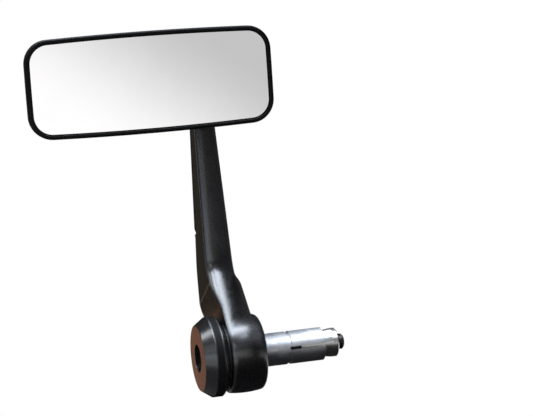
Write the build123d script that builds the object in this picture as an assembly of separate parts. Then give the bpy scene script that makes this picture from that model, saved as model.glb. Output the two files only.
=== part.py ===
from build123d import *
from math import acos, degrees, tan, radians
import os

# Motorcycle bar end mirror, left hand, in millimetres.
# The origin is on the handlebar's axis at the end of its tube: +X runs into the bar, +Y points
# forwards, away from the rider, and +Z points up along the arm.

# Fits
running_clearance = 0.05
press_clearance = 0.02
bolt_clearance = 0.2
ball_clearance = 0.1
end_play = 0.05
rotating_gap = 0.3

# Handlebar bore and the plug that is clamped in it
bar_bore_d = 18.0
bar_clearance = 0.3
stop_flange_d = 24.0
stop_flange_t = 2.0
stop_flange_edge = 0.4
stub_len = 8.0
spigot_d = 16.0
spigot_setback = 0.5

# Clamp bolt, with a low socket head
bolt_d = 8.0
bolt_head_d = 13.0
bolt_head_h = 5.0
bolt_key_af = 6.0
bolt_key_depth = 3.5
bolt_head_edge = 0.6
bolt_overrun = 4.0
bolt_tip = 0.8
bolt_washer_d = 14.0
bolt_washer_t = 1.0

# Expander: slotted sleeve and wedge nut
sleeve_len = 26.0
sleeve_plain_len = 8.0
sleeve_slots = 4
sleeve_slot_w = 1.6
sleeve_slot_root = 7.0
sleeve_groove_w = 2.0
sleeve_groove_depth = 0.6
wedge_half_angle = 8.5
wedge_engaged_len = 12.0
wedge_proud_len = 5.0
wedge_tail_len = 3.0
wedge_tail_edge = 0.6

# End cap and the friction washer behind it
cap_len = 12.8
cap_face_d = 34.4
cap_rim_d = 42.0
cap_bevel_len = 5.4
cap_band_len = 4.9
cap_back_step = 2.5
cap_bore_d = 14.6
cap_bore_depth = 9.5
cap_edge_r = 0.4
cap_washer_d = 33.0
cap_washer_t = 1.2

# Hub of the arm, a crowned barrel, and its flanged bush
hub_d = 41.0
hub_outer_d = 39.6
hub_inner_d = 39.0
hub_len = 19.0
hub_outer_edge_r = 1.2
hub_inner_edge_r = 2.5
bush_wall = 2.0
bush_flange_t = 1.0

# Blade of the arm, seen from the side: ramp, dogleg, upright front, heel and the rib behind
blade_front_y = 8.0
dogleg_z = 46.0
dogleg_r = 12.0
heel_y = 33.3
heel_z = 22.5
heel_r = 9.0
heel_bend_r = 40.0
blade_top_depth = 8.2
root_sink = 0.15
rib_foot_y = 29.6
rib_foot_z = 63.0
rib_low_y = 36.3
rib_low_z = 67.0
rib_edge_r = 1.5

# Blade of the arm, seen from the rider: two slanted flanks, the inner one with a shoulder
flank_base_x = -22.6
inner_base_x = -0.1
inner_waist_x = -5.67
inner_waist_z = 40.4
inner_waist_r = 5.0
shoulder_x = -3.2
shoulder_z = 36.6
shoulder_r = 9.0
blade_base_z = -12.0
blade_top_outer_w = 5.6
blade_top_inner_w = 5.5
front_outer_edge_r = 3.2
front_inner_edge_r = 5.0
rear_edge_r = 1.0
side_cone = 50.0

# Crown of the blade's front, which starts beside the outer edge and falls away to the inner flank
crown_base_x = -18.9
crown_lean = 1.0
crown_r = 22.0
crown_start = 4.0
crown_turn = 70.0
crown_over = 2.0

# Crease of the outer flank, which leaves room for the cap
crease_y = 4.0
crease_z = 38.0
crease_fall = 22.0
crease_run = 16.0

# Rebate along the rear of the outer flank
rebate_low_z = 64.0
rebate_low_y = 26.0
rebate_high_y = 15.0
rebate_depth = 1.0
rebate_corner_r = 3.5
rebate_eye_gap = 12.0

# Eye, ball stud and nut
eye_x = -14.55
eye_z = 145.7
eye_r = 6.5
stud_d = 6.0
ball_d = 13.0
ball_reach = 12.0
collar_d = 10.0
collar_t = 2.0
stud_washer_d = 11.0
stud_washer_t = 1.0
stud_nut_af = 10.0
stud_nut_h = 5.0
stud_nut_face_d = 9.6
stud_nut_chamfer = 30.0
stud_overrun = 2.5
stud_tip = 0.6
spot_face_margin = 0.5

# Seats of the ball, as angles from the stud's axis
seat_wall = 2.3
ring_from = 48.0
ring_to = 74.0
cup_from = 108.0

# Mirror head: outline, depths in front of the ball's centre, walls
head_w = 127.6
head_h = 52.0
head_corner_r = 12.2
head_long_crown = 1.3
head_side_crown = 0.2
head_offset = 31.8
head_tilt = 8.0
head_front = 16.0
head_depth = 14.5
head_back_r = 10.0
head_wall = 2.2
head_inner_r = 5.0
bezel_w = 2.1
bezel_outer_r = 1.2
bezel_inner_r = 0.4
ledge_w = 2.0
glass_t = 2.0
glass_recess = 1.2
glass_gap = 0.15
glass_bevel = 0.4
pad_t = 0.8
pad_inset = 1.0

# Socket boss, retaining plate and its screws
boss_base_d = 27.0
boss_end_d = 22.0
boss_end = 6.0
boss_root_r = 2.0
boss_edge_r = 1.0
boss_pad = 6.0
plate_d = 31.0
plate_t = 1.5
screw_count = 3
screw_circle_d = 25.0
screw_d = 3.0
screw_head_d = 5.2
screw_head_h = 1.8
screw_hole_floor = 1.0
screw_hole_spare = 0.5
screw_slot_w = 0.8
screw_slot_depth = 0.9
spring_washer_t = 0.6
spring_washer_d = 5.2
spring_washer_slit = 0.6

# Places along the bar axis
flange_outer_x = -stop_flange_t
bush_flange_inner_x = flange_outer_x - end_play
bush_flange_outer_x = bush_flange_inner_x - bush_flange_t
hub_outer_x = -hub_len
cap_back_x = hub_outer_x - cap_washer_t
cap_face_x = cap_back_x - cap_len
cap_floor_x = cap_face_x + cap_bore_depth
bolt_seat_x = cap_floor_x - bolt_washer_t
bolt_top_x = bolt_seat_x - bolt_head_h
sleeve_end_x = stub_len + sleeve_len
wedge_nose_x = sleeve_end_x - wedge_engaged_len
wedge_cone_end_x = sleeve_end_x + wedge_proud_len
wedge_end_x = wedge_cone_end_x + wedge_tail_len
bolt_end_x = wedge_end_x + bolt_overrun

# Radii about the bar axis
plug_r = bar_bore_d / 2 - bar_clearance
bolt_r = bolt_d / 2
bolt_hole_r = bolt_r + bolt_clearance
spigot_r = spigot_d / 2
bush_bore_r = spigot_r + running_clearance
bush_r = bush_bore_r + bush_wall
hub_crown_r = hub_d / 2
hub_outer_r = hub_outer_d / 2
hub_inner_r = hub_inner_d / 2
hub_bore_r = bush_r + press_clearance
hub_recess_r = stop_flange_d / 2 + rotating_gap

# Places on the arm and the head
blade_back_y = blade_front_y + blade_top_depth
ball_y = blade_front_y - ball_reach
ball_r = ball_d / 2
stud_r = stud_d / 2
seat_inner_r = ball_r + ball_clearance
seat_outer_r = seat_inner_r + seat_wall
socket_r = seat_outer_r + ball_clearance
ledge_z = head_front - glass_recess - glass_t - pad_t
head_back = head_front - head_depth

# The head's pieces are drawn on a bench with the glass facing up, the ball's centre at the origin,
# and are then stood up and tilted at the ball.
head_place = Location((eye_x, ball_y, eye_z), (90 + head_tilt, 0, 0))
stud_place = Location((eye_x, ball_y, eye_z), (90, 0, 0))


def turned(*corners):
    """Solid turned about the bar axis from (x, radius) corners."""
    return revolve(make_face(Polyline(*corners, close=True)), Axis.X)


def spun(*corners):
    """Solid turned about the bench's upright axis from (radius, z) corners."""
    return revolve(Plane.XZ * make_face(Polyline(*corners, close=True)), Axis.Z)


def slab(outline, low, high):
    """Solid with a flat outline between two heights on the bench."""
    return extrude(Pos(0, 0, low) * outline, high - low)


def tangent_point(point, centre, radius, side):
    """Where a line from a point touches a circle, on one side or the other."""
    reach = Vector(point) - Vector(centre)
    turn = side * degrees(acos(radius / reach.length))
    return Vector(centre) + reach.normalized().rotate(Axis.Z, turn) * radius


def seat_shell(from_angle, to_angle):
    """Spherical shell between two angles from the stud's axis, drawn with the stud pointing down."""
    outer = CenterArc((0, 0), seat_outer_r, from_angle - 90, to_angle - from_angle)
    inner = CenterArc((0, 0), seat_inner_r, from_angle - 90, to_angle - from_angle)
    sides = Line(outer @ 0, inner @ 0) + Line(outer @ 1, inner @ 1)
    return Rot(90, 0, 0) * revolve(make_face(outer + inner + sides), Axis.Y)


# End cap: bevelled face, plain rim, small back chamfer, counterbore for the bolt's head
end_cap = turned(
    (cap_face_x, cap_bore_d / 2),
    (cap_face_x, cap_face_d / 2),
    (cap_face_x + cap_bevel_len, cap_rim_d / 2),
    (cap_face_x + cap_bevel_len + cap_band_len, cap_rim_d / 2),
    (cap_back_x, cap_rim_d / 2 - cap_back_step),
    (cap_back_x, bolt_hole_r),
    (cap_floor_x, bolt_hole_r),
    (cap_floor_x, cap_bore_d / 2),
)
cap_rim_edges = end_cap.edges().filter_by(GeomType.CIRCLE).filter_by(
    lambda edge: edge.radius > cap_bore_d / 2 and edge.center().X < cap_back_x
)
end_cap = fillet(cap_rim_edges, cap_edge_r)

cap_washer = turned(
    (cap_back_x, bolt_hole_r),
    (cap_back_x, cap_washer_d / 2),
    (hub_outer_x, cap_washer_d / 2),
    (hub_outer_x, bolt_hole_r),
)

bolt_washer = turned(
    (bolt_seat_x, bolt_hole_r),
    (bolt_seat_x, bolt_washer_d / 2),
    (cap_floor_x, bolt_washer_d / 2),
    (cap_floor_x, bolt_hole_r),
)

# Clamp bolt: low head with a hexagon socket, shank through to the wedge nut
clamp_bolt = turned(
    (bolt_top_x, 0),
    (bolt_top_x, bolt_head_d / 2 - bolt_head_edge),
    (bolt_top_x + bolt_head_edge, bolt_head_d / 2),
    (bolt_seat_x, bolt_head_d / 2),
    (bolt_seat_x, bolt_r),
    (bolt_end_x - bolt_tip, bolt_r),
    (bolt_end_x, bolt_r - bolt_tip),
    (bolt_end_x, 0),
)
bolt_key = RegularPolygon(bolt_key_af / 2, 6, major_radius=False)
clamp_bolt -= extrude(Plane((bolt_top_x, 0, 0), z_dir=(1, 0, 0)) * bolt_key, bolt_key_depth)

# Plug: spigot that the hub turns on, stop flange against the tube's end, stub in the bore
plug_body = turned(
    (hub_outer_x + spigot_setback, bolt_hole_r),
    (hub_outer_x + spigot_setback, spigot_r),
    (flange_outer_x, spigot_r),
    (flange_outer_x, stop_flange_d / 2 - stop_flange_edge),
    (flange_outer_x + stop_flange_edge, stop_flange_d / 2),
    (-stop_flange_edge, stop_flange_d / 2),
    (0, stop_flange_d / 2 - stop_flange_edge),
    (0, plug_r),
    (stub_len, plug_r),
    (stub_len, bolt_hole_r),
)

# Expander sleeve: plain bore at the stub, taper for the wedge, slots from the open end to a groove
wedge_slope = tan(radians(wedge_half_angle))
sleeve_mouth_r = bolt_hole_r + (sleeve_len - sleeve_plain_len) * wedge_slope
groove_r = plug_r - sleeve_groove_depth
groove_x = stub_len + sleeve_slot_root
expander_sleeve = turned(
    (stub_len, bolt_hole_r),
    (stub_len, plug_r),
    (groove_x - sleeve_groove_w / 2, plug_r),
    (groove_x - sleeve_groove_w / 2, groove_r),
    (groove_x + sleeve_groove_w / 2, groove_r),
    (groove_x + sleeve_groove_w / 2, plug_r),
    (sleeve_end_x, plug_r),
    (sleeve_end_x, sleeve_mouth_r),
    (stub_len + sleeve_plain_len, bolt_hole_r),
)
slot_len = sleeve_len - sleeve_slot_root
slot_box = Pos(sleeve_end_x - slot_len / 2, plug_r / 2, 0) * Box(slot_len, plug_r, sleeve_slot_w)
for index in range(sleeve_slots):
    expander_sleeve -= Rot(index * 360 / sleeve_slots, 0, 0) * slot_box

# Wedge nut: cone that runs up the sleeve's taper
wedge_nose_r = sleeve_mouth_r - wedge_engaged_len * wedge_slope - press_clearance
wedge_cone_r = sleeve_mouth_r + wedge_proud_len * wedge_slope - press_clearance
wedge_nut = turned(
    (wedge_nose_x, bolt_r + press_clearance),
    (wedge_nose_x, wedge_nose_r),
    (wedge_cone_end_x, wedge_cone_r),
    (wedge_end_x - wedge_tail_edge, wedge_cone_r),
    (wedge_end_x, wedge_cone_r - wedge_tail_edge),
    (wedge_end_x, bolt_r + press_clearance),
)

# Flanged bush in the hub
hub_bush = turned(
    (hub_outer_x + spigot_setback, bush_bore_r),
    (hub_outer_x + spigot_setback, bush_r),
    (bush_flange_outer_x, bush_r),
    (bush_flange_outer_x, stop_flange_d / 2),
    (bush_flange_inner_x, stop_flange_d / 2),
    (bush_flange_inner_x, bush_bore_r),
)

# Arm, side view in Y and Z: the ramp leaves the hub, bends at the dogleg into the upright front,
# and the back rises from the heel to the foot of a rib, which tapers up to the eye.
axis_point = (0, 0)
root_r = hub_outer_r - root_sink
dogleg = (blade_front_y, dogleg_z)
heel_top = (heel_y, dogleg_z)
heel = (heel_y, heel_z)
ramp_root = tangent_point(dogleg, axis_point, root_r, 1)
heel_root = tangent_point(heel, axis_point, root_r, -1)
side_view = make_face(
    Polyline(
        axis_point,
        ramp_root,
        dogleg,
        (blade_front_y, eye_z),
        (blade_back_y, eye_z),
        (rib_low_y, rib_low_z),
        (rib_foot_y, rib_foot_z),
        heel_top,
        heel,
        heel_root,
        close=True,
    )
)


def rounded_at(sketch, corner, radius):
    """Sketch with the corner nearest to a point rounded."""
    return fillet(sketch.vertices().sort_by_distance(Vector(corner))[0], radius)


side_view = rounded_at(side_view, dogleg, dogleg_r)
side_view = rounded_at(side_view, heel_top, heel_bend_r)
side_view = rounded_at(side_view, heel, heel_r)
side_view = rounded_at(side_view, (rib_low_y, rib_low_z), rib_edge_r)
side_view = rounded_at(side_view, (rib_foot_y, rib_foot_z), rib_edge_r)
side_plane = Plane(origin=(0, 0, 0), x_dir=(0, 1, 0), z_dir=(1, 0, 0))
side_block = extrude(side_plane * side_view, -flank_base_x * 2, both=True)

# Arm, front view in X and Z: two flanks that close in towards the eye, the inner one by a shoulder
blade_top_outer_x = eye_x - blade_top_outer_w
front_view = make_face(
    Polyline(
        (flank_base_x, blade_base_z),
        (flank_base_x, 0),
        (blade_top_outer_x, eye_z),
        (eye_x + blade_top_inner_w, eye_z),
        (inner_waist_x, inner_waist_z),
        (shoulder_x, shoulder_z),
        (inner_base_x, 0),
        (inner_base_x, blade_base_z),
        close=True,
    )
)
front_view = rounded_at(front_view, (inner_waist_x, inner_waist_z), inner_waist_r)
front_view = rounded_at(front_view, (shoulder_x, shoulder_z), shoulder_r)
front_plane = Plane(origin=(0, 0, 0), x_dir=(1, 0, 0), z_dir=(0, -1, 0))
front_block = extrude(front_plane * front_view, heel_y * 2, both=True)
blade = side_block & front_block

# Outer edge of the front, rounded along the whole blade
def facing(*direction):
    """Faces of the blade that look the given way, within the cone of one side."""
    return blade.faces().filter_by(lambda face: face.normal_at().get_angle(Vector(direction)) < side_cone)


blade = blade.fillet(front_outer_edge_r, facing(0, -1, 0).edges() & facing(-1, 0, 0).edges())

# Crown: one long round swept up the ramp, the dogleg and the upright front
crown_plane = Plane(
    origin=(crown_base_x, 0, 0),
    x_dir=(0, 1, 0),
    z_dir=Vector(1, 0, 0).rotate(Axis.Y, crown_lean),
)
ramp_fall = Vector(*ramp_root) - Vector(*dogleg)
crown_foot = Vector(*ramp_root) + ramp_fall.normalized() * root_r
crown_path = crown_plane * FilletPolyline(crown_foot, dogleg, (blade_front_y, eye_z * 2), radius=dogleg_r)
crown_middle = Vector(0, crown_r).rotate(Axis.Z, crown_start)
crown_arc = CenterArc(crown_middle, crown_r, -90, crown_turn)
crown_tip = crown_arc @ 1
crown_outside = Polyline(
    crown_tip,
    (crown_tip.X + crown_over, crown_tip.Y),
    (crown_tip.X + crown_over, -crown_over),
    (crown_middle.X, -crown_over),
    crown_arc @ 0,
)
crown_section = Plane(origin=crown_path @ 0, x_dir=crown_plane.z_dir, z_dir=crown_path % 0)
blade -= sweep(crown_section * make_face(crown_arc + crown_outside), path=crown_path)

# Inner edge of the crown and the two rear edges
blade = blade.fillet(front_inner_edge_r, facing(0, -1, 0).edges() & facing(1, 0, 0).edges())
both_flanks = facing(-1, 0, 0) + facing(1, 0, 0)
blade = blade.fillet(rear_edge_r, facing(0, 1, 0).edges() & both_flanks.edges())

# Hub barrel and eye boss
hub_crown = ThreePointArc((hub_outer_x, hub_outer_r), (hub_outer_x / 2, hub_crown_r), (0, hub_inner_r))
hub_core = Polyline((hub_outer_x, hub_outer_r), (hub_outer_x, 0), (0, 0), (0, hub_inner_r))
hub = revolve(make_face(hub_crown + hub_core), Axis.X)
hub_rims = hub.edges().filter_by(lambda edge: edge.is_closed).sort_by(Axis.X)
hub = hub.fillet(hub_outer_edge_r, [hub_rims[0]]).fillet(hub_inner_edge_r, [hub_rims[-1]])
eye_boss = stud_place * slab(Circle(eye_r), -ball_reach - blade_top_depth, -ball_reach)
arm = blade + hub + eye_boss


def flank_x(z):
    """Outer flank of the blade at a height."""
    return flank_base_x + (blade_top_outer_x - flank_base_x) * z / eye_z


# Crease: below it the outer flank slopes in to the hub's face, clear of the cap
crease_x = flank_x(crease_z)
relief_step = hub_outer_x - crease_x
relief_far = hub_d * 2
crease_plane = Plane(
    origin=(crease_x, crease_y, crease_z),
    x_dir=Vector(0, 0, -1).rotate(Axis.X, -crease_fall),
    z_dir=Vector(0, 1, 0).rotate(Axis.X, -crease_fall),
)
relief = make_face(
    Polyline(
        (0, 0),
        (crease_run, -relief_step),
        (relief_far, -relief_step),
        (relief_far, relief_far),
        (0, relief_far),
        close=True,
    )
)
arm -= extrude(crease_plane * relief, relief_far, both=True)

# Rebate along the rear of the outer flank, with rounded ends
rebate_high_z = eye_z - rebate_eye_gap
rebate_floor_x = flank_x((rebate_low_z + rebate_high_z) / 2) + rebate_depth
rebate = make_face(
    Polyline(
        (rebate_low_y, rebate_low_z),
        (rebate_high_y, rebate_high_z),
        (heel_y * 2, rebate_high_z),
        (heel_y * 2, rebate_low_z),
        close=True,
    )
)
rebate = rounded_at(rebate, (rebate_low_y, rebate_low_z), rebate_corner_r)
rebate = rounded_at(rebate, (rebate_high_y, rebate_high_z), rebate_corner_r)
arm -= extrude(side_plane.offset(rebate_floor_x) * rebate, relief_far, dir=(-1, 0, 0))

# Bores of the arm: hub bore with a recess for the flanges, eye hole with a spot face behind it
arm -= turned(
    (hub_outer_x * 2, 0),
    (hub_outer_x * 2, hub_bore_r),
    (bush_flange_outer_x, hub_bore_r),
    (bush_flange_outer_x, hub_recess_r),
    (hub_len, hub_recess_r),
    (hub_len, 0),
)
eye_back = -ball_reach - blade_top_depth
arm -= stud_place * slab(Circle(stud_r + bolt_clearance), eye_back * 2, 0)
arm -= stud_place * slab(Circle(stud_washer_d / 2 + spot_face_margin), eye_back * 2, eye_back)

# Ball stud: ball, neck, collar on the arm's front, threaded shank through the eye
nut_front = eye_back - stud_washer_t
nut_back = nut_front - stud_nut_h
stud_end = nut_back - stud_overrun
ball_stud = stud_place * (
    Sphere(ball_r)
    + spun(
        (0, 0),
        (stud_r, 0),
        (stud_r, collar_t - ball_reach),
        (collar_d / 2, collar_t - ball_reach),
        (collar_d / 2, -ball_reach),
        (stud_r, -ball_reach),
        (stud_r, stud_end + stud_tip),
        (stud_r - stud_tip, stud_end),
        (0, stud_end),
    )
)

stud_washer = Circle(stud_washer_d / 2) - Circle(stud_r + bolt_clearance)
stud_washer = stud_place * slab(stud_washer, nut_front, eye_back)

stud_nut = RegularPolygon(stud_nut_af / 2, 6, major_radius=False) - Circle(stud_r + press_clearance)
nut_face_r = stud_nut_face_d / 2
nut_rise = (stud_nut_af - nut_face_r) * tan(radians(stud_nut_chamfer))
nut_turning = spun(
    (0, nut_back),
    (nut_face_r, nut_back),
    (stud_nut_af, nut_back + nut_rise),
    (stud_nut_af, nut_front),
    (0, nut_front),
)
stud_nut = stud_place * (slab(stud_nut, nut_back, nut_front) & nut_turning)

# Seats of the ball: a ring round the neck and a cup in front
seat_ring = stud_place * seat_shell(ring_from, ring_to)
ball_cup = head_place * seat_shell(cup_from, 180)


def head_outline(inset):
    """Four slightly bowed sides with round corners, drawn in from the head's edge."""
    half_w = head_w / 2 - inset
    half_h = head_h / 2 - inset
    corner_x = half_w - head_side_crown
    corner_y = half_h - head_long_crown
    sides = (
        ThreePointArc((-corner_x, corner_y), (0, half_h), (corner_x, corner_y))
        + ThreePointArc((corner_x, corner_y), (half_w, 0), (corner_x, -corner_y))
        + ThreePointArc((corner_x, -corner_y), (0, -half_h), (-corner_x, -corner_y))
        + ThreePointArc((-corner_x, -corner_y), (-half_w, 0), (-corner_x, corner_y))
    )
    outline = make_face(sides)
    outline = fillet(outline.vertices(), head_corner_r - inset)
    return Pos(-head_offset, 0, 0) * outline


# Housing: rounded shell with bezel, glass recess, ledge and hollow
shell = slab(head_outline(0), head_back, head_front)
shell_caps = shell.faces().sort_by(Axis.Z)
shell = shell.fillet(head_back_r, shell_caps[0].edges()).fillet(bezel_outer_r, shell_caps[-1].edges())
shell -= slab(head_outline(bezel_w), ledge_z, head_front)
bezel_rim = shell.faces().sort_by(Axis.Z)[-1].inner_wires()[0]
shell = shell.fillet(bezel_inner_r, bezel_rim.edges())
hollow = slab(head_outline(bezel_w + ledge_w), head_back + head_wall, ledge_z)
shell -= hollow.fillet(head_inner_r, hollow.faces().sort_by(Axis.Z)[0].edges())

# Socket boss on the housing's back, with the pad for the plate inside
boss = spun(
    (0, boss_pad),
    (plate_d / 2, boss_pad),
    (plate_d / 2, head_back + head_wall / 2),
    (boss_base_d / 2, head_back + head_wall / 2),
    (boss_base_d / 2, head_back),
    (boss_end_d / 2, -boss_end),
    (0, -boss_end),
)
housing = shell + boss
boss_rims = housing.edges().filter_by(GeomType.CIRCLE)
boss_root = boss_rims.sort_by_distance((0, boss_base_d / 2, head_back))[0]
boss_tip = boss_rims.sort_by_distance((0, boss_end_d / 2, -boss_end))[0]
housing = housing.fillet(boss_root_r, [boss_root]).fillet(boss_edge_r, [boss_tip])
housing -= Sphere(socket_r) + slab(Circle(socket_r), 0, boss_pad)
screw_spots = PolarLocations(screw_circle_d / 2, screw_count, start_angle=90)
screw_hole_z = head_back + screw_hole_floor
housing -= screw_spots * slab(Circle(screw_d / 2 + press_clearance), screw_hole_z, boss_pad)
housing = head_place * housing

# Mirror plate on its foam sheet
pad_top = ledge_z + pad_t
glass_pad = head_place * slab(head_outline(bezel_w + pad_inset), ledge_z, pad_top)
mirror_glass = slab(head_outline(bezel_w + glass_gap), pad_top, pad_top + glass_t)
glass_edges = mirror_glass.faces().sort_by(Axis.Z)[-1].edges()
mirror_glass = head_place * chamfer(glass_edges, glass_bevel)

# Retaining plate: flat ring with a dish over the cup
plate_top = boss_pad + plate_t
dish_r = socket_r + plate_t
retaining_plate = slab(Circle(plate_d / 2), boss_pad, plate_top)
retaining_plate += Sphere(dish_r) & slab(Circle(dish_r), boss_pad, dish_r)
retaining_plate -= Sphere(socket_r)
retaining_plate -= screw_spots * slab(Circle(screw_d / 2 + bolt_clearance), boss_pad, plate_top)
retaining_plate = head_place * retaining_plate

# Split spring washers and slotted screws of the plate
washer_top = plate_top + spring_washer_t
spring_washer = Circle(spring_washer_d / 2) - Circle(screw_d / 2 + bolt_clearance)
spring_washer -= Pos(spring_washer_d / 2, 0) * Rectangle(spring_washer_d, spring_washer_slit)
spring_washer = slab(spring_washer, plate_top, washer_top)
spring_washers = head_place * (Part() + screw_spots * spring_washer)

screw_top = washer_top + screw_head_h
screw = slab(Circle(screw_head_d / 2), washer_top, screw_top)
screw -= Pos(0, 0, screw_top) * Box(screw_head_d, screw_slot_w, screw_slot_depth * 2)
screw += slab(Circle(screw_d / 2), screw_hole_z + screw_hole_spare, washer_top)
plate_screws = head_place * (Part() + screw_spots * screw)

pieces = {
    "end_cap": end_cap,
    "clamp_bolt": clamp_bolt,
    "bolt_washer": bolt_washer,
    "cap_washer": cap_washer,
    "plug_body": plug_body,
    "expander_sleeve": expander_sleeve,
    "wedge_nut": wedge_nut,
    "arm": arm,
    "hub_bush": hub_bush,
    "ball_stud": ball_stud,
    "stud_washer": stud_washer,
    "stud_nut": stud_nut,
    "seat_ring": seat_ring,
    "ball_cup": ball_cup,
    "housing": housing,
    "mirror_glass": mirror_glass,
    "glass_pad": glass_pad,
    "retaining_plate": retaining_plate,
    "spring_washers": spring_washers,
    "plate_screws": plate_screws,
}
os.makedirs("parts", exist_ok=True)
for name, piece in pieces.items():
    export_step(piece, f"parts/{name}.step")
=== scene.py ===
import math
import bpy
from mathutils import Matrix, Quaternion, Vector


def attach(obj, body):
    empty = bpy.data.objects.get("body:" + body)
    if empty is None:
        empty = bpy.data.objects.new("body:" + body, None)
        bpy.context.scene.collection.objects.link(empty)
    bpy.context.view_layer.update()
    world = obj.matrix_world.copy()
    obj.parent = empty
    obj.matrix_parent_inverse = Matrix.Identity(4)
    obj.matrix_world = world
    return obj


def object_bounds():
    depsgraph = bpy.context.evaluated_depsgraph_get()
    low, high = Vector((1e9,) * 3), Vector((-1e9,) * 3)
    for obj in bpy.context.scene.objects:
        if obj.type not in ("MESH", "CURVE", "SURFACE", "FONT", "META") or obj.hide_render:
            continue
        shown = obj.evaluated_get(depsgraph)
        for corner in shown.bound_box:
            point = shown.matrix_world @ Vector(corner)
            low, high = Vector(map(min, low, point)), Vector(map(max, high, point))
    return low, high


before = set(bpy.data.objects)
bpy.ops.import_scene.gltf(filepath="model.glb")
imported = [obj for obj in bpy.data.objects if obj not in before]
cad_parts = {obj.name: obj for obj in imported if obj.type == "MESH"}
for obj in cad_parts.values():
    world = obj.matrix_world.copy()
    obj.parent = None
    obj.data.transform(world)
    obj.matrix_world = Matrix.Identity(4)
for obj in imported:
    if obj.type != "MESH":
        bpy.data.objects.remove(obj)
cad_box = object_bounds()


# Plug: spigot that the hub turns on, stop flange, and stub that goes into the end of a tube.
# It is turned from aluminium bar and clear anodised, so its pale skin keeps fine tool rings.
# The clamp bolt runs through it, and the flange stops it at the tube's end.
millimetre = 0.001
micron = 0.000001


def add_node(finish, kind, inputs=None, **settings):
    """Node in a finish, with values or other nodes' outputs on its inputs."""
    made = finish.node_tree.nodes.new(kind)
    for name, value in settings.items():
        setattr(made, name, value)
    for socket, value in (inputs or {}).items():
        if isinstance(value, bpy.types.NodeSocket):
            finish.node_tree.links.new(value, made.inputs[socket])
        else:
            made.inputs[socket].default_value = value
    return made


def new_finish(name, **constants):
    """Finish with one shader; constants go straight on the shader's own sockets."""
    finish = bpy.data.materials.new(name)
    finish.use_nodes = True
    shader = finish.node_tree.nodes["Principled BSDF"]
    for socket, value in constants.items():
        shader.inputs[socket.replace("_", " ")].default_value = value
    return finish


def wire(finish, socket, output):
    """Joins a node's output to one socket of the finish's shader."""
    shader = finish.node_tree.nodes["Principled BSDF"]
    finish.node_tree.links.new(output, shader.inputs[socket])


def mottle(finish, size, detail=3.0):
    """Uneven cloud pattern in the object's own space, with lumps of about one size."""
    place = add_node(finish, "ShaderNodeTexCoord").outputs["Object"]
    noise = add_node(
        finish, "ShaderNodeTexNoise",
        {"Vector": place, "Scale": 1.0 / size, "Detail": detail, "Roughness": 0.6},
    )
    return noise.outputs["Fac"]


def spread(finish, pattern, low, high):
    """Pattern stretched so that its usual range runs from low to high."""
    usual_low, usual_high = 0.3, 0.7
    ranged = add_node(
        finish, "ShaderNodeMapRange",
        {
            "Value": pattern, "From Min": usual_low, "From Max": usual_high,
            "To Min": low, "To Max": high,
        },
    )
    return ranged.outputs["Result"]


def blended(finish, mask, first, second, kind="FLOAT"):
    """Value or colour that turns from the first to the second where a mask is one."""
    first_in, second_in, out = {"FLOAT": (2, 3, 0), "RGBA": (6, 7, 2)}[kind]
    mix = add_node(
        finish, "ShaderNodeMix", {0: mask, first_in: first, second_in: second}, data_type=kind
    )
    return mix.outputs[out]


def two_tone(finish, pattern, first, second):
    """Colour that drifts between two tones with a pattern."""
    drift = spread(finish, pattern, 0.0, 1.0)
    return blended(finish, drift, (*first, 1.0), (*second, 1.0), "RGBA")


def lathe_rings(finish, pitch):
    """Wave along a turned profile about X: rings on faces, threads of light on rims."""
    place = add_node(finish, "ShaderNodeTexCoord").outputs["Object"]
    axes = add_node(finish, "ShaderNodeSeparateXYZ", {"Vector": place}).outputs
    flat = add_node(finish, "ShaderNodeCombineXYZ", {"Y": axes["Y"], "Z": axes["Z"]})
    radius = add_node(
        finish, "ShaderNodeVectorMath", {0: flat.outputs["Vector"]}, operation="LENGTH"
    )
    along = add_node(
        finish, "ShaderNodeMath", {0: radius.outputs["Value"], 1: axes["X"]}, operation="ADD"
    )
    turns = add_node(
        finish, "ShaderNodeMath",
        {0: along.outputs["Value"], 1: math.tau / pitch}, operation="MULTIPLY",
    )
    wave = add_node(finish, "ShaderNodeMath", {0: turns.outputs["Value"]}, operation="SINE")
    return wave.outputs["Value"]


def relief(finish, height, depth, strength=1.0, under=None):
    """Fine surface relief of a real depth, laid over another one if given."""
    inputs = {"Height": height, "Distance": depth, "Strength": strength}
    if under is not None:
        inputs["Normal"] = under
    return add_node(finish, "ShaderNodeBump", inputs).outputs["Normal"]


def turned_metal(name, first, second, roughness, pitch, depth):
    """Bare or anodised metal from the lathe: tool rings, cloudy tone, uneven gloss."""
    cloud_size, grit_size = 6 * millimetre, 0.3 * millimetre
    grit_depth, uneven = 2 * micron, 0.06
    finish = new_finish(name, Metallic=1.0)
    clouds = mottle(finish, cloud_size)
    grit = mottle(finish, grit_size)
    wire(finish, "Base Color", two_tone(finish, clouds, first, second))
    wire(finish, "Roughness", spread(finish, grit, roughness - uneven, roughness + uneven))
    rings = relief(finish, lathe_rings(finish, pitch), depth, strength=0.5)
    wire(finish, "Normal", relief(finish, grit, grit_depth, strength=0.4, under=rings))
    return finish


def dress(name, finish):
    """Gives a node of the part its finish, on every slot."""
    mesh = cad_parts[name].data
    mesh.materials.clear()
    mesh.materials.append(finish)


pale_anodised = turned_metal(
    "pale_anodised_alloy", first=(0.56, 0.57, 0.59), second=(0.66, 0.67, 0.69),
    roughness=0.36, pitch=0.22 * millimetre, depth=4 * micron,
)
dress("plug_body", pale_anodised)


# Expander sleeve: slotted sleeve that the wedge spreads against the tube's bore.
# It is the same alloy as the plug, sawn in four and left with a duller tumbled skin.
tumbled_alloy = turned_metal(
    "tumbled_alloy", first=(0.42, 0.43, 0.44), second=(0.55, 0.55, 0.56),
    roughness=0.46, pitch=0.35 * millimetre, depth=5 * micron,
)
dress("expander_sleeve", tumbled_alloy)


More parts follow.
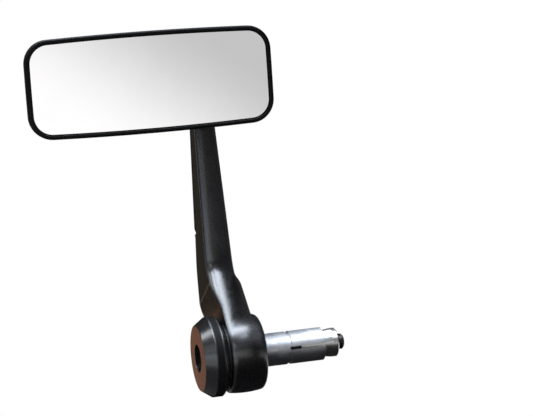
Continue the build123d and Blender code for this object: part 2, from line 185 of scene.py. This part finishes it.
# Wedge nut: tapered nut on the bolt's tail that draws into the sleeve.
# It is turned from steel and zinc plated, with the faint straw and blue cast of the plating.
zinc_plate = turned_metal(
    "zinc_plated_steel", first=(0.52, 0.54, 0.57), second=(0.63, 0.60, 0.52),
    roughness=0.30, pitch=0.18 * millimetre, depth=3 * micron,
)
dress("wedge_nut", zinc_plate)


# Flanged bush: bearing between the plug's spigot and the hub.
# It is moulded in off-white nylon, waxy and slightly uneven, and pressed into the hub.
def moulded_nylon(name, first, second):
    """Waxy moulded plastic with soft flow marks."""
    flow_size, skin_size, skin_depth = 4 * millimetre, 0.25 * millimetre, 4 * micron
    smoothest, roughest = 0.36, 0.50
    finish = new_finish(name, IOR=1.53)
    flow = mottle(finish, flow_size)
    skin = mottle(finish, skin_size)
    wire(finish, "Base Color", two_tone(finish, flow, first, second))
    wire(finish, "Roughness", spread(finish, skin, smoothest, roughest))
    wire(finish, "Normal", relief(finish, skin, skin_depth, strength=0.6))
    return finish


natural_nylon = moulded_nylon(
    "natural_nylon", first=(0.62, 0.59, 0.52), second=(0.70, 0.67, 0.60)
)
dress("hub_bush", natural_nylon)


# Arm: crowned hub, ramp, dogleg, tapered blade with a rib behind, and eye, in one forging.
# It is forged aluminium under a satin black powder coat with a fine orange-peel grain.
# The rebate's floor behind the blade has a painted shade, and the crease a thin painted highlight.
def ramp_between(finish, value, start, end, low, high):
    """Value eased from low to high between two places."""
    eased = add_node(
        finish, "ShaderNodeMapRange",
        {"Value": value, "From Min": start, "From Max": end, "To Min": low, "To Max": high},
        interpolation_type="SMOOTHSTEP",
    )
    return eased.outputs["Result"]


def distance_along(finish, direction):
    """How far a point of the piece lies along a direction, in metres from the origin."""
    place = add_node(finish, "ShaderNodeTexCoord").outputs["Object"]
    along = add_node(
        finish, "ShaderNodeVectorMath", {0: place, 1: direction}, operation="DOT_PRODUCT"
    )
    return along.outputs["Value"]


def near_plane(finish, normal, offset, reach):
    """One within half the reach of a plane, nought outside the reach."""
    past = add_node(
        finish, "ShaderNodeMath",
        {0: distance_along(finish, normal), 1: offset}, operation="SUBTRACT",
    )
    away = add_node(finish, "ShaderNodeMath", {0: past.outputs["Value"]}, operation="ABSOLUTE")
    return ramp_between(
        finish, away.outputs["Value"], start=reach * 0.5, end=reach, low=1.0, high=0.0
    )


def all_of(finish, mask, *others):
    """One only where every mask is one."""
    for other in others:
        both = add_node(finish, "ShaderNodeMath", {0: mask, 1: other}, operation="MULTIPLY")
        mask = both.outputs["Value"]
    return mask


def rounded_edges(finish, radius, samples):
    """Normal with the edges softened to a small radius."""
    softened = add_node(finish, "ShaderNodeBevel", {"Radius": radius}, samples=samples)
    return softened.outputs["Normal"]


def black_coat(name, tone, lift, gloss, sheen, grain_size, grain_depth):
    """Satin black coat: gives the finish, its tone, its roughness and a call to lay its grain."""
    cloud_size, smear_range, fleck_range = 9 * millimetre, 0.03, 0.05
    speck_size, speck_depth = grain_size * 0.4, grain_depth * 0.3
    finish = new_finish(name, IOR=1.5, Specular_IOR_Level=sheen)
    clouds = mottle(finish, cloud_size)
    grain = mottle(finish, grain_size, detail=4.0)
    speck = mottle(finish, speck_size, detail=2.0)
    smear = spread(finish, clouds, gloss - smear_range, gloss + smear_range)
    fleck = spread(finish, speck, -fleck_range, fleck_range)
    uneven = add_node(finish, "ShaderNodeMath", {0: smear, 1: fleck}, operation="ADD")
    rough = uneven.outputs["Value"]
    shade = two_tone(finish, grain, tone, lift)
    wire(finish, "Base Color", shade)
    wire(finish, "Roughness", rough)

    def lay_grain(edge_r):
        """Orange peel over the rounded edges, and fine specks over that."""
        edges = rounded_edges(finish, edge_r, samples=8)
        peel = relief(finish, grain, grain_depth, strength=0.7, under=edges)
        wire(finish, "Normal", relief(finish, speck, speck_depth, strength=0.5, under=peel))

    return finish, shade, rough, lay_grain


arm_sheen = 1.0
arm_coat, arm_tone, arm_rough, lay_arm_grain = black_coat(
    "arm_black_coat", tone=(0.0025, 0.0025, 0.0028), lift=(0.0042, 0.0042, 0.0047),
    gloss=0.265, sheen=arm_sheen, grain_size=0.7 * millimetre, grain_depth=22 * micron,
)
arm_x = distance_along(arm_coat, (1.0, 0.0, 0.0))
arm_y = distance_along(arm_coat, (0.0, 1.0, 0.0))
arm_z = distance_along(arm_coat, (0.0, 0.0, 1.0))

ramp_edge_r, blade_edge_r = 3.5 * millimetre, 0.3 * millimetre
dogleg_z, blade_z = 46 * millimetre, 62 * millimetre
lay_arm_grain(
    ramp_between(
        arm_coat, arm_z, start=dogleg_z, end=blade_z, low=ramp_edge_r, high=blade_edge_r
    )
)

rebate_floor_x, rebate_reach = -19.94 * millimetre, 0.25 * millimetre
rebate_foot_z = 62 * millimetre
rebate_front_y = 12 * millimetre
rebate_fade = 1 * millimetre
# Painted shade: the rebate's floor gets a darker colour and a lower specular level than the coat.
rebate_painted_shade, rebate_rough, rebate_shade_sheen = (0.0015, 0.0015, 0.0016, 1.0), 0.6, 0.2
on_floor = near_plane(arm_coat, (1.0, 0.0, 0.0), rebate_floor_x, rebate_reach)
above_foot = ramp_between(
    arm_coat, arm_z, start=rebate_foot_z - rebate_fade, end=rebate_foot_z, low=0.0, high=1.0
)
behind_front = ramp_between(
    arm_coat, arm_y, start=rebate_front_y - rebate_fade, end=rebate_front_y, low=0.0, high=1.0
)
rebate_shade_mask = all_of(arm_coat, on_floor, above_foot, behind_front)

# Painted highlight: a pale line of colour along the crease on the outer flank.
crease_normal, crease_offset = (0.0, 0.3746, 0.9272), 36.73 * millimetre
crease_reach = 0.3 * millimetre
flank_x, flank_end_x = -21.7 * millimetre, -21.4 * millimetre
crease_painted_highlight = (0.22, 0.18, 0.12, 1.0)
on_crease = near_plane(arm_coat, crease_normal, crease_offset, crease_reach)
on_flank = ramp_between(arm_coat, arm_x, start=flank_x, end=flank_end_x, low=1.0, high=0.0)
crease_highlight_mask = all_of(arm_coat, on_crease, on_flank)

# The painted shade on the rebate's floor and the painted highlight on the crease are laid in here.
tone_with_rebate_shade = blended(arm_coat, rebate_shade_mask, arm_tone, rebate_painted_shade, "RGBA")
wire(arm_coat, "Base Color", blended(arm_coat, crease_highlight_mask, tone_with_rebate_shade, crease_painted_highlight, "RGBA"))
wire(arm_coat, "Roughness", blended(arm_coat, rebate_shade_mask, arm_rough, rebate_rough))
wire(arm_coat, "Specular IOR Level", blended(arm_coat, rebate_shade_mask, arm_sheen, rebate_shade_sheen))
dress("arm", arm_coat)


# Friction washer: shim in the gap between cap and hub that sets the drag of the arm.
# It is stamped from black fibre sheet and looks dull and faintly mottled.
black_fibre = moulded_nylon(
    "black_fibre", first=(0.010, 0.010, 0.010), second=(0.018, 0.017, 0.016)
)
dress("cap_washer", black_fibre)


# End cap: bevelled cap at the outer end, with a deep counterbore for the bolt.
# It is turned from aluminium and black anodised, smoother than the arm's coat.
# Between the two bevels the band is rougher and has a painted shade: its specular level is turned
# down.
cap_gloss, cap_gloss_range, cap_sheen = 0.25, 0.04, 1.0
cap_band_x, cap_band_reach = -25.15 * millimetre, 2.6 * millimetre
cap_band_gloss, cap_band_shade_sheen = 0.60, 0.12
cap_ring_pitch, cap_ring_depth = 0.2 * millimetre, 1.5 * micron
cap_edge_r, cap_grit_depth = 0.2 * millimetre, 6 * micron
cap_anodised = new_finish("cap_black_anodised", IOR=1.5)
cap_clouds = mottle(cap_anodised, size=5 * millimetre)
cap_grit = mottle(cap_anodised, size=0.35 * millimetre)
cap_tone = two_tone(cap_anodised, cap_clouds, (0.0030, 0.0030, 0.0033), (0.0050, 0.0050, 0.0055))
wire(cap_anodised, "Base Color", cap_tone)
on_band = near_plane(cap_anodised, (1.0, 0.0, 0.0), cap_band_x, cap_band_reach)
cap_rough = spread(
    cap_anodised, cap_grit, cap_gloss - cap_gloss_range, cap_gloss + cap_gloss_range
)
wire(cap_anodised, "Roughness", blended(cap_anodised, on_band, cap_rough, cap_band_gloss))
# Painted shade: the band's specular level is turned down far below the rest of the cap.
wire(cap_anodised, "Specular IOR Level", blended(cap_anodised, on_band, cap_sheen, cap_band_shade_sheen))
cap_rings = relief(
    cap_anodised, lathe_rings(cap_anodised, cap_ring_pitch), cap_ring_depth, strength=0.35,
    under=rounded_edges(cap_anodised, cap_edge_r, samples=6),
)
cap_skin = relief(cap_anodised, cap_grit, cap_grit_depth, strength=0.5, under=cap_rings)
wire(cap_anodised, "Normal", cap_skin)
dress("end_cap", cap_anodised)


# Washer under the bolt's head: plain ring at the bottom of the cap's counterbore.
# It is stamped from sheet steel and zinc plated like the wedge nut.
dress("bolt_washer", zinc_plate)


# Clamp bolt: low socket head bolt that pulls the wedge nut up the plug.
# It is cold-headed alloy steel, blackened and oiled, so it is dark but still reads as metal.
# Its thread is rolled; the crest shows on the tail that stands out of the wedge nut.
def black_oxide(name):
    """Blackened steel: dark metal with oily patches."""
    oil_size, grit_size, grit_depth = 2.5 * millimetre, 0.2 * millimetre, 4 * micron
    oiled, dry = 0.30, 0.46
    finish = new_finish(name, Metallic=1.0)
    oil = mottle(finish, oil_size)
    grit = mottle(finish, grit_size)
    wire(
        finish, "Base Color",
        two_tone(finish, oil, (0.030, 0.030, 0.032), (0.055, 0.052, 0.050)),
    )
    wire(finish, "Roughness", spread(finish, oil, oiled, dry))
    wire(finish, "Normal", relief(finish, grit, grit_depth, strength=0.6))
    return finish


def thread_crest(name, place, start, length, radius, pitch, body, finish):
    """Winding crest of a thread along X on a plain shank, fading into it at both ends."""
    steps_per_turn, fade_steps = 60, 15
    crest = 0.12 * pitch
    half_foot, half_top = 0.4 * pitch, 0.12 * pitch
    turns = length / pitch
    steps = round(turns * steps_per_turn)
    corners, sides = [], []
    for step in range(steps + 1):
        angle = math.tau * turns * step / steps
        fade = min(1.0, step / fade_steps, (steps - step) / fade_steps)
        foot_r, top_r = radius - crest, radius + crest * fade
        middle = start + length * step / steps
        profile = ((-half_foot, foot_r), (-half_top, top_r), (half_top, top_r), (half_foot, foot_r))
        for shift, reach in profile:
            corners.append((middle + shift, reach * math.cos(angle), reach * math.sin(angle)))
    for step in range(steps):
        for side in range(4):
            near, beside = 4 * step + side, 4 * step + (side + 1) % 4
            sides.append((near, near + 4, beside + 4, beside))
    sides += [(0, 1, 2, 3), tuple(4 * steps + side for side in (3, 2, 1, 0))]
    mesh = bpy.data.meshes.new(name)
    mesh.from_pydata(corners, [], sides)
    mesh.transform(place)
    mesh.materials.append(finish)
    wound = bpy.data.objects.new(name, mesh)
    bpy.context.scene.collection.objects.link(wound)
    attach(wound, body)


bolt_black = black_oxide("bolt_black_oxide")
dress("clamp_bolt", bolt_black)
thread_crest(
    "bolt_thread", place=Matrix.Identity(4),
    start=42.6 * millimetre, length=2.5 * millimetre,
    radius=4.0 * millimetre, pitch=1.25 * millimetre,
    body="bar_clamp", finish=bolt_black,
)


# Ball stud with its washer and nut: the stud stands in the arm's eye and carries the head.
# Stud, washer and nut are zinc plated steel, the ball polished before plating.
# The nut pulls the stud's collar against the eye, and the thread's end stands out behind it.
def plated_steel(name, roughness):
    """Plated steel with a drifting straw and blue cast and fine scuffs."""
    cast_size, scuff_size, scuff_depth = 3 * millimetre, 0.22 * millimetre, 3 * micron
    uneven = 0.07
    finish = new_finish(name, Metallic=1.0)
    cast = mottle(finish, cast_size)
    scuff = mottle(finish, scuff_size, detail=5.0)
    wire(finish, "Base Color", two_tone(finish, cast, (0.50, 0.52, 0.55), (0.62, 0.60, 0.54)))
    wire(finish, "Roughness", spread(finish, scuff, roughness - uneven, roughness + uneven))
    wire(finish, "Normal", relief(finish, scuff, scuff_depth, strength=0.5))
    return finish


polished_plate = plated_steel("polished_plated_steel", roughness=0.20)
satin_plate = plated_steel("satin_plated_steel", roughness=0.32)
dress("ball_stud", polished_plate)
eye_x, eye_z = -14.55 * millimetre, 145.7 * millimetre
along_eye = Matrix.Translation((eye_x, 0.0, eye_z)) @ Matrix.Rotation(math.radians(90), 4, "Z")
thread_crest(
    "stud_thread", place=along_eye,
    start=22.7 * millimetre, length=1.4 * millimetre,
    radius=3.0 * millimetre, pitch=1.0 * millimetre,
    body="mirror_arm", finish=polished_plate,
)
dress("stud_washer", satin_plate)
dress("stud_nut", satin_plate)


# Seats of the ball: a ring round the neck and a cup in front, which give the joint its friction.
# Both are moulded in black nylon and held by the housing's boss.
black_nylon = moulded_nylon(
    "black_nylon", first=(0.014, 0.014, 0.015), second=(0.022, 0.022, 0.024)
)
dress("seat_ring", black_nylon)
dress("ball_cup", black_nylon)


# Housing: shell of the head with the bezel, crowned back and socket boss.
# It is die-cast alloy under a finer and duller black coat than the arm's.
# The bezel's front has a painted shade: its specular level is turned down, so it shines least.
housing_sheen, bezel_shade_sheen = 0.35, 0.08
housing_edge_r = 0.2 * millimetre
head_front_normal = (0.0, -0.9903, -0.1392)
bezel_offset, bezel_reach = -0.9 * millimetre, 1.8 * millimetre
housing_coat, _, _, lay_housing_grain = black_coat(
    "housing_black_coat", tone=(0.0024, 0.0024, 0.0027), lift=(0.0038, 0.0038, 0.0042),
    gloss=0.40, sheen=housing_sheen, grain_size=0.45 * millimetre, grain_depth=5 * micron,
)
lay_housing_grain(housing_edge_r)
# Painted shade: the bezel's front gets a much lower specular level than the rest of the housing.
on_bezel = near_plane(housing_coat, head_front_normal, bezel_offset, bezel_reach)
bezel_shaded_sheen = blended(housing_coat, on_bezel, housing_sheen, bezel_shade_sheen)
wire(housing_coat, "Specular IOR Level", bezel_shaded_sheen)
dress("housing", housing_coat)


# Retaining plate with its split washers and screws: closes the socket inside the head.
# The plate is pressed from sheet steel; plate, washers and screws are zinc plated.
dress("retaining_plate", satin_plate)
dress("spring_washers", satin_plate)
dress("plate_screws", satin_plate)


# Foam sheet that bonds the glass to the housing's ledge.
# It is black closed-cell foam, pitted and quite dull.
foam_cell, foam_patch = 0.4 * millimetre, 1.5 * millimetre
foam_pit_depth = 60 * micron
foam_black = new_finish("black_foam", Roughness=0.9)
foam_place = add_node(foam_black, "ShaderNodeTexCoord").outputs["Object"]
foam_cells = add_node(
    foam_black, "ShaderNodeTexVoronoi", {"Vector": foam_place, "Scale": 1.0 / foam_cell}
)
foam_patches = mottle(foam_black, foam_patch)
foam_tone = two_tone(foam_black, foam_patches, (0.012, 0.012, 0.012), (0.022, 0.022, 0.022))
wire(foam_black, "Base Color", foam_tone)
foam_pits = relief(foam_black, foam_cells.outputs["Distance"], foam_pit_depth, strength=0.8)
wire(foam_black, "Normal", foam_pits)
dress("glass_pad", foam_black)


# Mirror glass: flat silvered plate with a ground edge, bonded in the bezel.
# The silver is almost neutral, with a faint haze of dust and wiped smears.
clean_rough, dusty_rough = 0.015, 0.04
silvered_glass = new_finish("silvered_glass", Metallic=1.0, Coat_Weight=0.3, Coat_Roughness=0.02)
dust = mottle(silvered_glass, size=14 * millimetre, detail=5.0)
silver_tone = two_tone(silvered_glass, dust, (0.915, 0.902, 0.906), (0.935, 0.922, 0.926))
wire(silvered_glass, "Base Color", silver_tone)
wire(silvered_glass, "Roughness", spread(silvered_glass, dust, clean_rough, dusty_rough))
dress("mirror_glass", silvered_glass)


# Floor of the studio: pale matt sheet below the part, which is held up by its plug.
# Further out it is the same white as the room, so that no edge shows behind the part.
floor_drop = 200 * millimetre
floor_z = cad_box[0][2] - floor_drop
floor_half = 2.5
floor_fade_start, floor_fade_end = 0.27, 0.46
white = (1.0, 1.0, 1.0, 1.0)


def board(name, centre, across, up, finish):
    """Flat sheet of the studio from its middle and its two half sides."""
    middle, across, up = Vector(centre), Vector(across), Vector(up)
    corners = [
        middle - across - up, middle + across - up, middle + across + up, middle - across + up
    ]
    mesh = bpy.data.meshes.new(name)
    mesh.from_pydata([tuple(corner) for corner in corners], [], [(0, 1, 2, 3)])
    mesh.materials.append(finish)
    sheet = bpy.data.objects.new(name, mesh)
    bpy.context.scene.collection.objects.link(sheet)
    return sheet


def seen_directly(finish):
    """One for rays of the camera, of reflections and of see-through surfaces, nought for others."""
    path = add_node(finish, "ShaderNodeLightPath").outputs
    either = add_node(
        finish, "ShaderNodeMath",
        {0: path["Is Camera Ray"], 1: path["Is Glossy Ray"]}, operation="MAXIMUM",
    )
    any_of_them = add_node(
        finish, "ShaderNodeMath",
        {0: either.outputs["Value"], 1: path["Is Transmission Ray"]}, operation="MAXIMUM",
    )
    return any_of_them.outputs["Value"]


def show(finish, shader_output):
    """Makes a shader's output what the finish shows."""
    shown = finish.node_tree.nodes["Material Output"].inputs["Surface"]
    finish.node_tree.links.new(shader_output, shown)


floor_sheet = new_finish("pale_floor", Roughness=0.9, Base_Color=(0.86, 0.86, 0.86, 1.0))
floor_place = add_node(floor_sheet, "ShaderNodeTexCoord").outputs["Object"]
floor_reach = add_node(
    floor_sheet, "ShaderNodeVectorMath", {0: floor_place}, operation="LENGTH"
).outputs["Value"]
floor_fade = ramp_between(
    floor_sheet, floor_reach, start=floor_fade_start, end=floor_fade_end, low=0.0, high=1.0
)
floor_white = add_node(floor_sheet, "ShaderNodeEmission", {"Color": white, "Strength": 1.0})
floor_mix = add_node(
    floor_sheet, "ShaderNodeMixShader",
    {
        0: all_of(floor_sheet, floor_fade, seen_directly(floor_sheet)),
        1: floor_sheet.node_tree.nodes["Principled BSDF"].outputs["BSDF"],
        2: floor_white.outputs["Emission"],
    },
)
show(floor_sheet, floor_mix.outputs["Shader"])
board("floor", (0, 0, floor_z), (floor_half, 0, 0), (0, floor_half, 0), floor_sheet)


# Boards of the studio, stood out of the picture so that black gloss shows shaped reflections.
# They are painted card: dark at the sides and behind, graded in front, bright overhead.
# Small ones stand close: a brown one behind the cap, and two dark flags at the hub's right side.
under_z = cad_box[0][2] - 50 * millimetre


def card(name, tone):
    """Even painted card, shown at its own tone."""
    finish = bpy.data.materials.new(name)
    finish.use_nodes = True
    paint = add_node(finish, "ShaderNodeEmission", {"Color": (*tone, 1.0), "Strength": 1.0})
    show(finish, paint.outputs["Emission"])
    return finish


def graded_card(name, tone, direction, start, end, low, high):
    """Painted card whose tone is eased from low to high along a direction."""
    finish = card(name, tone)
    level = ramp_between(finish, distance_along(finish, direction), start, end, low, high)
    finish.node_tree.links.new(level, finish.node_tree.nodes["Emission"].inputs["Strength"])
    return finish


def stand(name, centre, across, up, finish):
    """Board that only reflections see."""
    sheet = board(name, centre, across, up, finish)
    sheet.visible_camera = False
    sheet.visible_diffuse = False
    sheet.visible_shadow = False
    sheet.visible_transmission = False


dark_card = card("dark_card", (0.02, 0.02, 0.022))
grey_card = card("grey_card", (0.10, 0.10, 0.11))
umber_card = card("umber_card", (0.070, 0.055, 0.040))
brown_card = card("brown_card", (0.46, 0.22, 0.14))
pale_card = card("pale_card", (11.0, 12.1, 13.9))
floor_card = card("floor_card", (0.15, 0.15, 0.16))
slanted_card = graded_card(
    "graded_card", (1.0, 1.0, 1.0), direction=(1.325, 0.0, 1.8),
    start=0.009, end=0.299, low=1.09, high=0.60,
)
cool_card = graded_card(
    "cool_card", (0.85, 0.95, 1.10), direction=(0.0, 0.0, 1.0),
    start=0.02, end=0.13, low=2.3, high=0.05,
)
dusk_card = graded_card(
    "dusk_card", (1.0, 1.0, 1.05), direction=(0.0, 0.0, 1.0),
    start=0.26, end=0.55, low=0.02, high=0.50,
)

# In front and overhead
stand("front_card", (0.05, -0.6, 0.06), (0.20, 0, 0), (0, 0, 0.09), slanted_card)
stand("front_right_card", (0.32, -0.6, 0.0125), (0.07, 0, 0), (0, 0, 0.0425), slanted_card)
stand("front_left_card", (-0.56, -0.35, 0.07), (0.42, -0.33, 0), (0, 0, 0.08), cool_card)
stand("ceiling_card", (-0.20, -0.2, 0.82), (0.26, 0, 0), (0, 0.26, 0), pale_card)
stand("overhead_back_card", (-0.06, 0.22, 0.86), (0.15, 0, 0), (0, 0.17, 0), pale_card)
stand("overhead_front_card", (0.33, -0.62, 0.86), (0.15, 0, 0), (0, 0.13, 0), pale_card)

# Close to the hub and the cap
stand("hub_flag", (0.0125, -0.025, 0.045), (0.012, 0, 0), (0, 0.04, 0), dark_card)
stand("hub_front_flag", (0.006, -0.055, 0.0), (0.006, 0, 0), (0, 0, 0.03), dark_card)
stand("brown_board", (-0.049, 0.06, -0.0165), (0.0125, 0, 0), (0, 0, 0.0305), brown_card)

# Round about, above and below
stand("front_board", (0.1, -0.95, 0.26), (0.9, 0, 0), (0, 0, 0.34), dusk_card)
stand("right_board", (0.6, -0.1, 0.5), (0, 0.9, 0), (0, 0, 0.56), grey_card)
stand("left_board", (-0.9, -0.2, 0.15), (0, 0.7, 0), (0, 0, 0.22), grey_card)
stand("back_board", (0.2, 1.2, 0.5), (1.6, 0, 0), (0, 0, 0.60), dark_card)
stand("ceiling_board", (0, 0, 0.95), (1.6, 0, 0), (0, 1.6, 0), grey_card)
stand("umber_board", (-0.42, 0.62, 0.2), (0.33, 0, 0), (0, 0, 0.28), umber_card)
stand("umber_floor_board", (-0.2, 0.4, under_z), (0.25, 0, 0), (0, 0.25, 0), umber_card)
stand("under_board", (0.06, -0.18, under_z), (0.10, 0, 0), (0, 0.33, 0), dark_card)
stand("left_under_board", (-0.12, -0.02, under_z), (0.08, 0, 0), (0, 0.12, 0), floor_card)


# Studio light: a cool soft box overhead, and smaller panels at left, side, camera and back.
# The room is plain white to the camera and in reflections, and lights softly.
def soft_box(name, place, target, width, length, watts, tint, turn=0):
    """Rectangular lamp that faces a point, turned in its own plane by some degrees."""
    lamp = bpy.data.lights.new(name, "AREA")
    lamp.shape = "RECTANGLE"
    lamp.size = width
    lamp.size_y = length
    lamp.energy = watts
    lamp.color = tint
    held = bpy.data.objects.new(name, lamp)
    held.location = place
    facing = (Vector(target) - Vector(place)).to_track_quat("-Z", "Y")
    own_axis = Vector((0.0, 0.0, 1.0))
    held.rotation_euler = (facing @ Quaternion(own_axis, math.radians(turn))).to_euler()
    bpy.context.scene.collection.objects.link(held)


soft_box(
    "overhead_box", place=(0.22, -0.22, 0.86), target=(-0.015, 0.0, 0.03),
    width=0.28, length=0.60, watts=6.9, tint=(0.82, 0.89, 1.0), turn=17,
)
soft_box(
    "left_panel", place=(-0.62, 0.04, 0.62), target=(-0.02, 0.0, 0.03),
    width=0.22, length=0.30, watts=1.5, tint=(0.90, 0.95, 1.0),
)
soft_box(
    "side_panel", place=(-0.84, -0.48, 0.25), target=(-0.03, 0.0, 0.0),
    width=0.25, length=0.12, watts=0.14, tint=(0.95, 0.97, 1.0),
)
soft_box(
    "camera_panel", place=(-0.38, -0.86, 0.48), target=(-0.01, 0.0, 0.0),
    width=0.25, length=0.25, watts=0.8, tint=(0.90, 0.95, 1.0),
)
soft_box(
    "back_panel", place=(0.85, 0.60, 0.60), target=(0.0, 0.0, 0.08),
    width=0.45, length=0.45, watts=3.0, tint=(0.95, 0.97, 1.0),
)

room_fill, room_shown = 0.25, 1.0
room = bpy.data.worlds.new("white_room")
bpy.context.scene.world = room
room.use_nodes = True
room_light = room.node_tree.nodes["Background"]
room_light.inputs["Color"].default_value = white
room_level = add_node(
    room, "ShaderNodeMapRange",
    {"Value": seen_directly(room), "To Min": room_fill, "To Max": room_shown},
)
room.node_tree.links.new(room_level.outputs["Result"], room_light.inputs["Strength"])
bpy.context.scene.view_settings.view_transform = "Standard"


# Camera: long lens at the height of the arm, left of the part, looking almost level.
# Its place and its three axes were fitted to the part's outline.
picture_width = 533
focal_pixels = 1731
camera_right = Vector((0.96175, -0.25402, -0.10251))
camera_up = Vector((0.09669, -0.03531, 0.99469))
camera_ahead = Vector((0.25629, 0.96655, 0.00940))
camera_place = Vector((-0.22184, -0.88171, 0.06572))
lens = bpy.data.cameras.new("photo_camera")
lens.sensor_width = 36.0
lens.lens = lens.sensor_width * focal_pixels / picture_width
lens.clip_start = 10 * millimetre
camera = bpy.data.objects.new("photo_camera", lens)
turn = Matrix((camera_right, camera_up, -camera_ahead)).transposed()
camera.matrix_world = Matrix.Translation(camera_place) @ turn.to_4x4()
bpy.context.scene.collection.objects.link(camera)
bpy.context.scene.camera = camera
